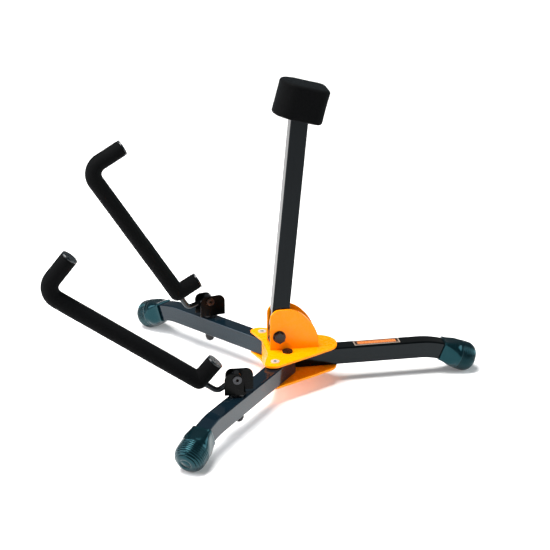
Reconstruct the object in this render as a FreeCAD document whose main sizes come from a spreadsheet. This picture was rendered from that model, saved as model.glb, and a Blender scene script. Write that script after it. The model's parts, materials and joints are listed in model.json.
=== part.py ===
"""Folding three-legged cradle stand for a small guitar: a riveted plate hub, one fixed rear leg, two
front legs that fold back beside it, a padded backrest post that folds down over the rear leg, and two
padded cradle arms on swivelling brackets."""
import FreeCAD, Part
import math
import os
from FreeCAD import Placement, Rotation, Vector

X_AXIS = Vector(1, 0, 0)
Y_AXIS = Vector(0, 1, 0)
Z_AXIS = Vector(0, 0, 1)

# name, millimetres or degrees, what it is
SIZES = [
    ("origin_shift", 20.03, "hub centre behind the origin, which is the middle of the footprint"),
    ("leg_height", 18.0, "square leg tube, height"),
    ("leg_width", 16.5, "square leg tube, width"),
    ("leg_wall", 1.4, "square leg tube, wall"),
    ("leg_middle", 28.4, "height of the straight tube's centre line above the floor"),
    ("leg_bend", 22.0, "downward bend at the end of a leg, degrees"),
    ("leg_bend_radius", 80.0, "centre-line radius of that bend"),
    ("leg_corner", 1.6, "rounding of a leg tube's long edges"),
    ("toe_height", 11.9, "centre of a boot's end face above the floor"),
    ("toe_radius", 14.2, "round toe of a rubber boot"),
    ("boot_length", 36.0, "rubber boot, mouth to end face"),
    ("boot_mouth", 20.6, "rounded square mouth of a rubber boot"),
    ("rear_reach", 195.5, "hub centre to the rear boot's end face"),
    ("rear_start", -16.0, "front end of the rear leg tube"),
    ("front_reach", 202.0, "fold pivot to a front boot's end face"),
    ("fan_angle", 52.7, "front leg, degrees from straight ahead"),
    ("fold_x", 16.9, "fold pivot, sideways from the middle"),
    ("fold_y", 0.9, "fold pivot, behind the hub centre"),
    ("pin_radius", 3.0, "shank of every pivot pin and bolt"),
    ("running_gap", 0.05, "radial clearance of a turning bore"),
    ("sheet_thickness", 2.0, "hub plate"),
    ("plate_top", 41.4, "upper face of the hub's top plate"),
    ("plate_bottom", 17.1, "lower face of the hub's bottom plate"),
    ("web_half", 18.0, "half width of the hub's front web"),
    ("web_front", -19.0, "front face of the hub's web"),
    ("lobe_radius", 9.9, "rounded lobe of a hub plate over a front leg"),
    ("ear_thickness", 2.4, "upright bracket, sheet"),
    ("ear_gap", 16.0, "upright bracket, between the ears"),
    ("ear_front", -15.2, "front edge of an ear"),
    ("ear_back", 33.2, "rear edge of an ear at its foot"),
    ("ear_top", 83.6, "top of an ear above the floor"),
    ("post_pivot_y", -6.2, "backrest pivot, from the hub centre"),
    ("post_pivot_z", 55.4, "backrest pivot above the floor"),
    ("post_lean", 5.45, "backrest post, degrees behind vertical"),
    ("post_depth", 17.3, "backrest post tube, front to back"),
    ("post_width", 15.4, "backrest post tube, side to side"),
    ("post_corner", 1.4, "rounding of the post tube's long edges"),
    ("post_wall", 1.4, "backrest post tube, wall"),
    ("post_below", 7.0, "post tube below its pivot"),
    ("post_above", 241.0, "post tube above its pivot"),
    ("pad_length", 47.0, "backrest pad, nose to back"),
    ("pad_width", 33.5, "backrest pad, side to side"),
    ("pad_height", 33.5, "backrest pad, bottom to top"),
    ("pad_tilt", 9.55, "pad turned back against the post, degrees"),
    ("pad_centre", 239.6, "pad centre above the pivot, along the post"),
    ("swivel_reach", 102.2, "fold pivot to swivel bolt, along a front leg"),
    ("outer_cheek_front", 13.6, "outer bracket cheek, ahead of the swivel bolt"),
    ("outer_cheek_back", 4.6, "outer bracket cheek, behind the swivel bolt"),
    ("inner_cheek_front", 12.0, "inner bracket cheek, ahead of the swivel bolt"),
    ("inner_cheek_back", 14.6, "inner bracket cheek, behind the swivel bolt"),
    ("cheek_top", 62.0, "top of a bracket cheek above the floor"),
    ("cheek_gap", 10.4, "between the bracket's cheeks"),
    ("cheek_sheet", 2.2, "bracket sheet"),
    ("bracket_floor", 40.6, "underside of the bracket above the floor"),
    ("hinge_ahead", 1.5, "arm rivet ahead of the swivel bolt"),
    ("hinge_height", 56.3, "arm rivet above the floor"),
    ("right_toe_in", 4.0, "right arm turned inwards, degrees"),
    ("left_toe_in", 12.0, "left arm turned inwards, degrees"),
    ("right_rise", 34.5, "right arm above level, degrees"),
    ("left_rise", 58.0, "left arm above level, degrees"),
    ("rod_radius", 2.75, "steel arm rod"),
    ("knuckle_ahead", 7.3, "rod bend from the rivet, along the arm"),
    ("knuckle_down", 21.6, "rod bend from the rivet, square to the arm"),
    ("knuckle_radius", 5.2, "barrel on the arm's rivet"),
    ("link_length", 21.2, "rod bend to the short horn"),
    ("arm_length", 170.3, "short horn to the end bend"),
    ("tip_length", 42.2, "upturned end of the arm"),
    ("tip_turn", 94.7, "turn of the arm at its end bend, degrees"),
    ("horn_length", 25.3, "short horn"),
    ("horn_turn", 95.7, "short horn from the arm's line, degrees"),
    ("foam_radius", 8.4, "foam sleeves"),
    ("cap_length", 1.6, "disc that closes a foam sleeve"),
]

doc = FreeCAD.newDocument("cradle_stand")
sheet = doc.addObject("Spreadsheet::Sheet", "Sizes")
for row, (alias, value, note) in enumerate(SIZES, start=1):
    sheet.set(f"A{row}", alias)
    sheet.set(f"B{row}", str(value))
    sheet.set(f"C{row}", note)
    sheet.setAlias(f"B{row}", alias)
doc.recompute()

SUB_PARTS = []


def size(alias):
    """A driving dimension, read from the sheet."""
    return float(sheet.get(alias))


def frame(x, y, z, *turns):
    """A placement at a point of the hub's frame, turned by each (axis, degrees) in order."""
    rotation = Rotation()
    for axis, degrees in turns:
        rotation = rotation.multiply(Rotation(axis, degrees))
    return Placement(Vector(x, y + size("origin_shift"), z), rotation)


def at(x, y, z, axis=Z_AXIS):
    """A local placement whose own Z runs along axis."""
    return Placement(Vector(x, y, z), Rotation(Z_AXIS, axis))


def bound(kind, name, placement, **formulas):
    """A Part feature whose properties follow formulas of the sheet."""
    item = doc.addObject(kind, name)
    for prop, formula in formulas.items():
        item.setExpression(prop, formula)
    item.Placement = placement
    return item


def box(name, placement, length, width, height):
    return bound("Part::Box", name, placement, Length=length, Width=width, Height=height)


def cylinder(name, placement, radius, height):
    return bound("Part::Cylinder", name, placement, Radius=radius, Height=height)


def hexagon(name, placement, across_corners, height):
    return bound("Part::Prism", name, placement, Circumradius=f"{across_corners} / 2", Height=height)


def fuse(name, items):
    item = doc.addObject("Part::MultiFuse", name)
    item.Shapes = items
    return item


def cut(name, base, tools):
    item = doc.addObject("Part::Cut", name)
    item.Base = base
    item.Tool = tools[0] if len(tools) == 1 else fuse(f"{name}_tools", tools)
    return item


def feature(name, shape):
    """A shape built with Part's own functions."""
    item = doc.addObject("Part::Feature", name)
    item.Shape = shape
    return item


def outline(name, plane, pieces):
    """A closed sketch on a plane: each piece is a line's two points or an arc's three."""
    sketch = doc.addObject("Sketcher::SketchObject", name)
    for points in pieces:
        corners = [Vector(u, v, 0) for u, v in points]
        edge = Part.LineSegment(*corners) if len(corners) == 2 else Part.Arc(*corners)
        sketch.addGeometry(edge, False)
    sketch.Placement = plane
    return sketch


def polygon(points):
    """The straight pieces of a closed outline."""
    return [(a, b) for a, b in zip(points, points[1:] + points[:1])]


def extrusion(name, sketch, height, both_ways=False):
    item = doc.addObject("Part::Extrusion", name)
    item.Base = sketch
    item.DirMode = "Normal"
    item.Solid = True
    item.Symmetric = both_ways
    item.setExpression("LengthFwd", height)
    return item


def rounded_edges(name, base, radius, shortest):
    """Rounds the edges of a base that are longer than shortest and run along it."""
    doc.recompute()
    item = doc.addObject("Part::Fillet", name)
    item.Base = base
    item.Edges = [(number, radius, radius) for number, edge in enumerate(base.Shape.Edges, 1)
                  if edge.Length > shortest]
    return item


def sub_part(label, item, placement):
    """Names a finished piece and puts it in its place."""
    item.Label = label
    item.Placement = placement.multiply(item.Placement)
    SUB_PARTS.append(item)
    return item


# planes for sketches: u along local X, v along local Z or Y
SIDE_PLANE = Placement(Vector(), Rotation(X_AXIS, 90))


def level_plane(z):
    return Placement(Vector(0, 0, z), Rotation())


# ---------------------------------------------------------------- frames of the moving groups
SIDES = {"right": 1, "left": -1}


def leg_frame(side):
    """Local X runs out along a front leg from its fold pivot."""
    sign = SIDES[side]
    heading = -90 + sign * size("fan_angle")
    return frame(sign * size("fold_x"), size("fold_y"), 0, (Z_AXIS, heading))


def bracket_frame(side):
    """Local X points ahead along the arm, and the origin is the swivel bolt's axis on the floor."""
    bolt = leg_frame(side).multVec(Vector(size("swivel_reach"), 0, 0))
    heading = -90 - SIDES[side] * size(f"{side}_toe_in")
    return Placement(bolt, Rotation(Z_AXIS, heading))


def arm_frame(side):
    """Local X runs out along the padded arm and local Z square to it, from the rivet."""
    hinge = Vector(size("hinge_ahead"), 0, size("hinge_height"))
    tilt = Placement(hinge, Rotation(Y_AXIS, -size(f"{side}_rise")))
    return bracket_frame(side).multiply(tilt)


HUB = frame(0, 0, 0)
REAR = frame(0, 0, 0, (Z_AXIS, 90))
POST = frame(0, size("post_pivot_y"), size("post_pivot_z"), (X_AXIS, -size("post_lean")))


# ---------------------------------------------------------------- legs
def bend_start(reach):
    """Where a leg's straight run ends: the sloping end run and the arc are measured back."""
    slope = math.radians(size("leg_bend"))
    arc_drop = size("leg_bend_radius") * (1 - math.cos(slope))
    run_drop = size("leg_middle") - size("toe_height") - arc_drop
    return reach - run_drop / math.tan(slope) - size("leg_bend_radius") * math.sin(slope)


def leg_side(start, reach, inset, end_gap):
    """Side outline of a leg: straight, an arc down, then a sloping run that stops inside the boot."""
    slope = math.radians(size("leg_bend"))
    half = size("leg_height") / 2 - inset
    middle = size("leg_middle")
    radius = size("leg_bend_radius")
    turn_x = bend_start(reach)
    turn_z = middle - radius

    def on_arc(offset, angle):
        return (turn_x + (radius + offset) * math.sin(angle), turn_z + (radius + offset) * math.cos(angle))

    def at_end(offset):
        back = end_gap
        x = reach - back * math.cos(slope) + offset * math.sin(slope)
        z = size("toe_height") + back * math.sin(slope) + offset * math.cos(slope)
        return (x, z)

    top, bottom = half, -half
    return [
        ((start, middle + top), on_arc(top, 0)),
        (on_arc(top, 0), on_arc(top, slope / 2), on_arc(top, slope)),
        (on_arc(top, slope), at_end(top)),
        (at_end(top), at_end(bottom)),
        (at_end(bottom), on_arc(bottom, slope)),
        (on_arc(bottom, slope), on_arc(bottom, slope / 2), on_arc(bottom, 0)),
        (on_arc(bottom, 0), (start, middle + bottom)),
        ((start, middle + bottom), (start, middle + top)),
    ]


TUBE_END = 5.0  # the leg tube stops this far inside the boot's end face


def hollow_leg(name, start, reach):
    """A bent square tube, open at both ends."""
    wall = size("leg_wall")
    outer = extrusion(f"{name}_outer",
                      outline(f"{name}_side", SIDE_PLANE, leg_side(start, reach, 0, TUBE_END)),
                      "Sizes.leg_width", True)
    outer = rounded_edges(f"{name}_rounded", outer, size("leg_corner"), size("leg_height") + 1)
    hollow = leg_side(start - 20, reach, wall, TUBE_END - 2)
    inner = extrusion(f"{name}_inner", outline(f"{name}_hollow", SIDE_PLANE, hollow),
                      "Sizes.leg_width - 2 * Sizes.leg_wall", True)
    return outer, inner


def rear_leg():
    outer, inner = hollow_leg("rear_leg", size("rear_start"), size("rear_reach"))
    sub_part("rear_leg_tube", cut("rear_leg_cut", outer, [inner]), REAR)


def front_leg(side):
    """The inner end is round about the fold pivot, so that it turns beside the rear leg."""
    start = -size("leg_width") / 2
    outer, inner = hollow_leg(f"{side}_leg", start, size("front_reach"))
    round_end = cylinder(f"{side}_leg_round", at(0, 0, 0), "Sizes.leg_width / 2", "Sizes.leg_middle * 2")
    beyond = box(f"{side}_leg_beyond", at(0, -size("leg_width") / 2, 0),
                 "Sizes.front_reach + Sizes.toe_radius", "Sizes.leg_width", "Sizes.leg_middle * 2")
    kept = fuse(f"{side}_leg_kept", [round_end, beyond])
    shaped = doc.addObject("Part::Common", f"{side}_leg_shaped")
    shaped.Base = outer
    shaped.Tool = kept
    bores = [
        cylinder(f"{side}_leg_fold_bore", at(0, 0, 0),
                 "Sizes.pin_radius + Sizes.running_gap", "Sizes.leg_middle * 2"),
        cylinder(f"{side}_leg_bolt_bore", at(size("swivel_reach"), 0, 0),
                 "Sizes.pin_radius + 2 * Sizes.running_gap", "Sizes.leg_middle * 2"),
        cylinder(f"{side}_leg_button_bore", at(DETENT_REACH, 0, size("leg_middle")),
                 f"{BUTTON_RADIUS} + 0.2", "Sizes.leg_middle"),
    ]
    tube = cut(f"{side}_leg_cut", shaped, [inner] + bores)
    sub_part(f"{side}_leg_tube", tube, leg_frame(side))


RIB_PITCH = 2.2
RIB_DEPTH = 0.75
RIB_COUNT = 7
TOE_EDGE = 2.0
NECK_STEP = 0.2  # the body meets the ribbed part this far below its grooves
NECK_FLAT = 0.8  # half of the flat left on each side of the round end of the body


def boot(label, reach, place):
    """Rubber boot: a rounded square mouth over the tube that swells to a round, ribbed toe."""
    toe = size("toe_radius")
    length = size("boot_length")
    mouth = size("boot_mouth") / 2
    ring_start = -(TOE_EDGE + RIB_COUNT * RIB_PITCH)

    # ribbed toe, turned about the boot's own axis (local X, end face at 0)
    profile = [(ring_start - 2, 0), (ring_start - 2, toe - RIB_DEPTH), (ring_start, toe - RIB_DEPTH)]
    for ring in range(RIB_COUNT):
        x = ring_start + ring * RIB_PITCH
        profile += [(x, toe), (x + RIB_PITCH * 0.6, toe), (x + RIB_PITCH * 0.6, toe - RIB_DEPTH),
                    (x + RIB_PITCH, toe - RIB_DEPTH)]
    profile += [(-TOE_EDGE, toe), (0, toe - TOE_EDGE), (0.8, toe - 2 * TOE_EDGE), (1.2, 0)]
    wire = Part.makePolygon([Vector(x, 0, r) for x, r in profile + profile[:1]])
    ribbed = Part.Face(wire).revolve(Vector(), X_AXIS, 360)

    # body between the mouth and the toe, ending just inside the ribbed part
    neck = toe - RIB_DEPTH - NECK_STEP
    sections = [rounded_square(-length, mouth, mouth * 0.3),
                rounded_square((ring_start - length) / 2, (mouth + neck) / 2, (mouth + neck) * 0.33),
                rounded_square(ring_start - 1, neck, neck - NECK_FLAT)]
    body = Part.makeLoft(sections, True, False)

    slope = size("leg_bend")
    seat = Placement(Vector(reach, 0, size("toe_height")), Rotation(Y_AXIS, slope))
    solid = ribbed.fuse(body)
    solid.Placement = seat
    below = Part.makeBox(2 * reach, 4 * toe, 10, Vector(0, -2 * toe, -10))
    feature_shape = solid.cut(below)

    rubber = feature(f"{label}_rubber", feature_shape)
    fit = size("running_gap")
    pocket = extrusion(f"{label}_pocket", outline(f"{label}_pocket_side", SIDE_PLANE,
                       leg_side(reach / 2, reach, -fit, TUBE_END - fit)),
                       "Sizes.leg_width + 2 * Sizes.running_gap", True)
    sub_part(label, cut(f"{label}_cut", rubber, [pocket]), place)


def rounded_square(x, half, corner):
    """A rounded square across local X."""
    flat = half - corner
    edges = []
    turn = math.sqrt(0.5)
    for quarter in range(4):
        angle = math.radians(90 * quarter)
        cos_q, sin_q = round(math.cos(angle)), round(math.sin(angle))

        def turned(y, z):
            return Vector(x, y * cos_q - z * sin_q, y * sin_q + z * cos_q)

        start = turned(half, -flat)
        middle = turned(half, flat)
        arc_middle = turned(flat + corner * turn, flat + corner * turn)
        end = turned(flat, half)
        edges.append(Part.LineSegment(start, middle).toShape())
        edges.append(Part.Arc(middle, arc_middle, end).toShape())
    return Part.Wire(Part.__sortEdges__(edges))


# ---------------------------------------------------------------- hub
DETENT_REACH = 26.7  # fold pivot to the snap button, along a front leg
BUTTON_RADIUS = 2.6
LOBE_CENTRE = (39.6, -17.2)
REAR_LOBE = [(0, 54.0), (12.0, 50.6), (18.6, 43.0)]
WAIST = [(18.6, 43.0), (21.8, 36.6), (26.0, 29.6)]


def plate_outline():
    """Plan of a hub plate: a rear tongue over the fixed leg and a round lobe over each front leg."""
    lobe_x, lobe_y = LOBE_CENTRE
    radius = size("lobe_radius")
    side_angle, front_angle = math.radians(31), math.radians(-72)
    middle_angle = (side_angle + front_angle) / 2

    def on_lobe(angle):
        return (lobe_x + radius * math.cos(angle), lobe_y + radius * math.sin(angle))

    right = [
        REAR_LOBE,
        WAIST,
        [WAIST[-1], on_lobe(side_angle)],
        [on_lobe(side_angle), on_lobe(middle_angle), on_lobe(front_angle)],
        [on_lobe(front_angle), (size("web_half"), size("web_front"))],
    ]
    left = [[(-x, y) for x, y in piece] for piece in right]
    across = [[(size("web_half"), size("web_front")), (-size("web_half"), size("web_front"))]]
    return right + left + across


def hub_shell():
    """Two pierced plates joined by a front web: one folded sheet."""
    top_z = size("plate_top") - size("sheet_thickness")
    top = extrusion("top_plate", outline("top_plan", level_plane(top_z), plate_outline()),
                    "Sizes.sheet_thickness")
    low = extrusion("bottom_plate",
                    outline("bottom_plan", level_plane(size("plate_bottom")), plate_outline()),
                    "Sizes.sheet_thickness")
    web = box("front_web", at(-size("web_half"), size("web_front"), size("plate_bottom")),
              "2 * Sizes.web_half", "Sizes.sheet_thickness", "Sizes.plate_top - Sizes.plate_bottom")
    bores = []
    for side, sign in SIDES.items():
        bores.append(cylinder(f"{side}_hub_pin_bore", at(sign * size("fold_x"), size("fold_y"), 0),
                              "Sizes.pin_radius + Sizes.running_gap", "Sizes.plate_top + 1"))
        eyelet = detent_point(side)
        bores.append(cylinder(f"{side}_hub_eyelet_bore", at(eyelet.x, eyelet.y, size("leg_middle")),
                              "Sizes.pin_radius", "Sizes.leg_middle"))
    sub_part("hub_shell", cut("hub_cut", fuse("hub_sheet", [top, low, web]), bores), HUB)


def detent_point(side):
    """The snap button's place in the hub's frame."""
    point = leg_frame(side).multVec(Vector(DETENT_REACH, 0, 0))
    return point - HUB.Base


def upright_bracket():
    """A folded channel on the top plate: two shield-shaped ears beside the post."""
    front, back, top = size("ear_front"), size("ear_back"), size("ear_top")
    foot = size("plate_top")
    ear = [
        [(front, foot), (front, top - 10.4)],
        [(front, top - 10.4), (front + 2.9, top - 3.0), (front + 9.9, top)],
        [(front + 9.9, top), (front + 18.6, top)],
        [(front + 18.6, top), (front + 28.4, top - 3.0), (front + 36.0, top - 9.2)],
        [(front + 36.0, top - 9.2), (front + 44.2, top - 19.6), (back, foot + 11.0)],
        [(back, foot + 11.0), (back, foot)],
        [(back, foot), (front, foot)],
    ]
    channel = extrusion("ear_block",
                        outline("ear_side", Placement(Vector(), Rotation(Vector(1, 1, 1), 120)), ear),
                        "Sizes.ear_gap + 2 * Sizes.ear_thickness", True)
    slot = box("ear_slot", at(-size("ear_gap") / 2, front - 1, foot + size("ear_thickness")),
               "Sizes.ear_gap", "Sizes.ear_back - Sizes.ear_front + 2", "Sizes.ear_top")
    bore = cylinder("ear_bore", at(-30, size("post_pivot_y"), size("post_pivot_z"), X_AXIS),
                    "Sizes.pin_radius + Sizes.running_gap", "60")
    sub_part("upright_bracket", cut("ear_cut", channel, [slot, bore]), HUB)


HEAD_HEIGHT = 4.0
NUT_HEIGHT = 5.0
WASHER_HEIGHT = 1.0
HEX_CORNERS = 11.5


def hub_bolt():
    """The backrest's pivot bolt: hexagon head and washer on the right, lock nut on the left."""
    outside = size("ear_gap") / 2 + size("ear_thickness")
    y, z = size("post_pivot_y"), size("post_pivot_z")
    seat = outside + WASHER_HEIGHT
    shank = cylinder("hub_bolt_shank", at(-seat - NUT_HEIGHT - 1.5, y, z, X_AXIS), "Sizes.pin_radius",
                     f"2 * {seat} + {NUT_HEIGHT} + 1.5")
    head = hexagon("hub_bolt_head", at(seat, y, z, X_AXIS), HEX_CORNERS, f"{HEAD_HEIGHT}")
    sub_part("hub_bolt", fuse("hub_bolt_fused", [shank, head]), HUB)

    nut = hexagon("hub_nut_hex", at(-seat - NUT_HEIGHT, y, z, X_AXIS), HEX_CORNERS, f"{NUT_HEIGHT}")
    thread = cylinder("hub_nut_thread", at(-seat - NUT_HEIGHT, y, z, X_AXIS), "Sizes.pin_radius",
                      f"{NUT_HEIGHT}")
    sub_part("hub_lock_nut", cut("hub_nut_cut", nut, [thread]), HUB)

    for side, sign in SIDES.items():
        start = outside if sign > 0 else -seat
        disc = cylinder(f"{side}_hub_disc", at(start, y, z, X_AXIS), "Sizes.pin_radius * 2.1",
                        f"{WASHER_HEIGHT}")
        hole = cylinder(f"{side}_hub_disc_hole", at(start, y, z, X_AXIS), "Sizes.pin_radius",
                        f"{WASHER_HEIGHT}")
        sub_part(f"{side}_hub_washer", cut(f"{side}_hub_washer_cut", disc, [hole]), HUB)


PIN_HEAD_RADIUS = 5.3
PIN_HEAD_HEIGHT = 1.6


def fold_pin(side):
    """Pivot pin of a front leg, headed over both hub plates, and its nylon washer above the leg."""
    x, y = SIDES[side] * size("fold_x"), size("fold_y")
    low, high = size("plate_bottom"), size("plate_top")
    shank = cylinder(f"{side}_pin_shank", at(x, y, low), "Sizes.pin_radius",
                     "Sizes.plate_top - Sizes.plate_bottom")
    heads = [cylinder(f"{side}_pin_head_{i}", at(x, y, z), f"{PIN_HEAD_RADIUS}", f"{PIN_HEAD_HEIGHT}")
             for i, z in enumerate((low - PIN_HEAD_HEIGHT, high))]
    sub_part(f"{side}_fold_pin", fuse(f"{side}_pin_fused", [shank] + heads), HUB)

    leg_top = size("leg_middle") + size("leg_height") / 2
    gap = high - size("sheet_thickness") - leg_top
    disc = cylinder(f"{side}_glide_disc", at(x, y, leg_top + 0.1), "Sizes.leg_width / 2 - 0.6",
                    f"{gap} - 0.2")
    hole = cylinder(f"{side}_glide_hole", at(x, y, leg_top), "Sizes.pin_radius + Sizes.running_gap", f"{gap}")
    sub_part(f"{side}_glide_washer", cut(f"{side}_glide_cut", disc, [hole]), HUB)


def detent_eyelet(side):
    """Nickel eyelet in the top plate that the leg's snap button springs into."""
    spot = detent_point(side)
    high = size("plate_top")
    flange = cylinder(f"{side}_eyelet_flange", at(spot.x, spot.y, high), "Sizes.pin_radius + 1.2", "0.8")
    barrel = cylinder(f"{side}_eyelet_barrel", at(spot.x, spot.y, high - size("sheet_thickness")),
                      "Sizes.pin_radius", "Sizes.sheet_thickness")
    hole = cylinder(f"{side}_eyelet_hole", at(spot.x, spot.y, high - 5), "Sizes.pin_radius - 1.2", "10")
    ring = cut(f"{side}_eyelet_cut", fuse(f"{side}_eyelet_fused", [flange, barrel]), [hole])
    sub_part(f"{side}_detent_eyelet", ring, HUB)


def snap_clip(side):
    """Folded spring strip inside the leg that carries the snap button."""
    floor = size("leg_middle") - size("leg_height") / 2 + size("leg_wall")
    ceiling = size("leg_middle") + size("leg_height") / 2 - size("leg_wall")
    back = DETENT_REACH + 26
    strip = polygon([
        (DETENT_REACH - 8, ceiling - 1.2), (DETENT_REACH + 6, ceiling - 1.2), (back, floor + 1.0),
        (DETENT_REACH + 2, floor + 1.0), (DETENT_REACH + 2, floor + 0.2), (back + 3, floor + 0.2),
        (back + 3, floor + 1.0), (DETENT_REACH + 6.4, ceiling - 0.3), (DETENT_REACH - 8, ceiling - 0.3),
    ])
    spring = extrusion(f"{side}_clip_strip", outline(f"{side}_clip_side", SIDE_PLANE, strip),
                       "Sizes.leg_width / 2", True)
    leg_top = size("leg_middle") + size("leg_height") / 2
    button = cylinder(f"{side}_clip_button", at(DETENT_REACH, 0, ceiling - 1.0), f"{BUTTON_RADIUS}",
                      f"{leg_top} + 1.2 - ({ceiling} - 1.0)")
    sub_part(f"{side}_snap_clip", fuse(f"{side}_clip_fused", [spring, button]), leg_frame(side))


RIVET_PLACES = (6.0, 40.0)


def rear_leg_fixings():
    """Packing strip above the rear leg and the rivets through the bottom plate."""
    leg_top = size("leg_middle") + size("leg_height") / 2
    gap = size("plate_top") - size("sheet_thickness") - leg_top
    strip = box("packing_box", at(-size("leg_width") / 2 + 1, 12, leg_top), "Sizes.leg_width - 2", "38",
                f"{gap}")
    sub_part("rear_leg_packing", strip, HUB)

    leg_low = size("leg_middle") - size("leg_height") / 2
    rivets = []
    for i, y in enumerate(RIVET_PLACES):
        low = size("plate_bottom")
        rivets.append(cylinder(f"leg_rivet_head_{i}", at(0, y, low - 1.2), "4.2", "1.2"))
        rivets.append(cylinder(f"leg_rivet_shank_{i}", at(0, y, low), "2.4",
                               f"{leg_low + size('leg_wall') - low}"))
        rivets.append(cylinder(f"leg_rivet_tail_{i}", at(0, y, leg_low + size("leg_wall")), "3.6", "1.2"))
    sub_part("rear_leg_rivets", fuse("leg_rivets", rivets), HUB)


LABEL_START = 72.0
LABEL_LENGTH = 47.0


def blank_label():
    """A plain plate on the top of the rear leg, with nothing written on it."""
    leg_top = size("leg_middle") + size("leg_height") / 2
    plate = box("label_box", at(-5.5, LABEL_START, leg_top), "11", f"{LABEL_LENGTH}", "0.5")
    sub_part("blank_label", plate, HUB)


# ---------------------------------------------------------------- backrest
def backrest_post():
    """Square tube on a pivot sleeve, with a plug inside the pad."""
    low, high = size("post_below"), size("post_above")
    width, depth, wall = size("post_width"), size("post_depth"), size("post_wall")
    outer = box("post_outer", at(-width / 2, -depth / 2, -low), "Sizes.post_width", "Sizes.post_depth",
                "Sizes.post_above + Sizes.post_below")
    outer = rounded_edges("post_rounded", outer, size("post_corner"), size("post_depth") + 1)
    inner = box("post_inner", at(-width / 2 + wall, -depth / 2 + wall, -low - 1),
                "Sizes.post_width - 2 * Sizes.post_wall",
                "Sizes.post_depth - 2 * Sizes.post_wall", "Sizes.post_above + Sizes.post_below + 2")
    bore = cylinder("post_bore", at(-width, 0, 0, X_AXIS), "Sizes.pin_radius * 1.6", "2 * Sizes.post_width")
    sub_part("backrest_post", cut("post_cut", outer, [inner, bore]), POST)

    sleeve_half = size("ear_gap") / 2 - 0.1
    barrel = cylinder("sleeve_barrel", at(-sleeve_half, 0, 0, X_AXIS), "Sizes.pin_radius * 1.6 - 0.02",
                      f"{2 * sleeve_half}")
    hole = cylinder("sleeve_hole", at(-sleeve_half, 0, 0, X_AXIS), "Sizes.pin_radius + Sizes.running_gap",
                    f"{2 * sleeve_half}")
    sub_part("pivot_sleeve", cut("sleeve_cut", barrel, [hole]), POST)

    cap = box("plug_cap", at(-width / 2, -depth / 2, high), "Sizes.post_width", "Sizes.post_depth", "3")
    boss = box("plug_boss", at(-width / 2 + wall, -depth / 2 + wall, high - 12),
               "Sizes.post_width - 2 * Sizes.post_wall",
               "Sizes.post_depth - 2 * Sizes.post_wall", "12")
    sub_part("post_plug", fuse("plug_fused", [cap, boss]), POST)


PAD_BACK_CORNER = 8.0


def backrest_pad():
    """Foam block with a half-round nose, pushed over the end of the post."""
    half = size("pad_width") / 2
    nose, back = -size("pad_length") / 2 + half, size("pad_length") / 2
    corner = PAD_BACK_CORNER
    turn = corner * (1 - math.sqrt(0.5))
    plan = [
        [(half, nose), (0, nose - half), (-half, nose)],
        [(-half, nose), (-half, back - corner)],
        [(-half, back - corner), (-half + turn, back - turn), (-half + corner, back)],
        [(-half + corner, back), (half - corner, back)],
        [(half - corner, back), (half - turn, back - turn), (half, back - corner)],
        [(half, back - corner), (half, nose)],
    ]
    seat = Placement(Vector(0, 0, size("pad_centre")), Rotation(X_AXIS, -size("pad_tilt")))
    plane = seat.multiply(level_plane(-size("pad_height") / 2))
    block = extrusion("pad_block", outline("pad_plan", plane, plan), "Sizes.pad_height")
    pocket = box("pad_pocket", at(-size("post_width") / 2 - 0.1, -size("post_depth") / 2 - 0.1, 0),
                 "Sizes.post_width + 0.2", "Sizes.post_depth + 0.2", "Sizes.post_above + 3.1")
    sub_part("backrest_pad", cut("pad_cut", block, [pocket]), POST)


# ---------------------------------------------------------------- cradle arms
SPACER_RADIUS = 5.6
BOLT_HEAD_RADIUS = 5.2
BOLT_HEAD_HEIGHT = 2.6
ACORN_RADIUS = 5.0


def swivel_bolt(side):
    """Bolt through a front leg, its domed nut below and the spacer that the bracket turns on."""
    reach = size("swivel_reach")
    place = leg_frame(side)
    leg_low = size("leg_middle") - size("leg_height") / 2
    leg_top = size("leg_middle") + size("leg_height") / 2
    head_low = size("bracket_floor") + size("cheek_sheet") + 0.2
    bolt_low = leg_low - 6
    shank = cylinder(f"{side}_bolt_shank", at(reach, 0, bolt_low), "Sizes.pin_radius",
                     f"{head_low - bolt_low}")
    head = cylinder(f"{side}_bolt_head", at(reach, 0, head_low), f"{BOLT_HEAD_RADIUS}", f"{BOLT_HEAD_HEIGHT}")
    sub_part(f"{side}_swivel_bolt", fuse(f"{side}_bolt_fused", [shank, head]), place)

    washer = cylinder(f"{side}_nut_washer", at(reach, 0, leg_low - 1), f"{ACORN_RADIUS} + 0.9", "1")
    collar = cylinder(f"{side}_nut_collar", at(reach, 0, leg_low - 5), f"{ACORN_RADIUS}", "4")
    dome = bound("Part::Sphere", f"{side}_nut_dome", at(reach, 0, leg_low - 5),
                 Radius=f"{ACORN_RADIUS} - 0.4")
    thread = cylinder(f"{side}_nut_thread", at(reach, 0, bolt_low), "Sizes.pin_radius", "7")
    nut = cut(f"{side}_nut_cut", fuse(f"{side}_nut_fused", [washer, collar, dome]), [thread])
    sub_part(f"{side}_domed_nut", nut, place)

    spacer = cylinder(f"{side}_spacer_disc", at(reach, 0, leg_top), f"{SPACER_RADIUS}",
                      f"Sizes.bracket_floor - 0.2 - {leg_top}")
    hole = cylinder(f"{side}_spacer_hole", at(reach, 0, leg_top), "Sizes.pin_radius", "10")
    sub_part(f"{side}_swivel_spacer", cut(f"{side}_spacer_cut", spacer, [hole]), place)


CHEEK_CORNER = 6.5


BRACKET_FLOOR_BACK = 6.5
BRACKET_FLOOR_FRONT = 8.5


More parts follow.
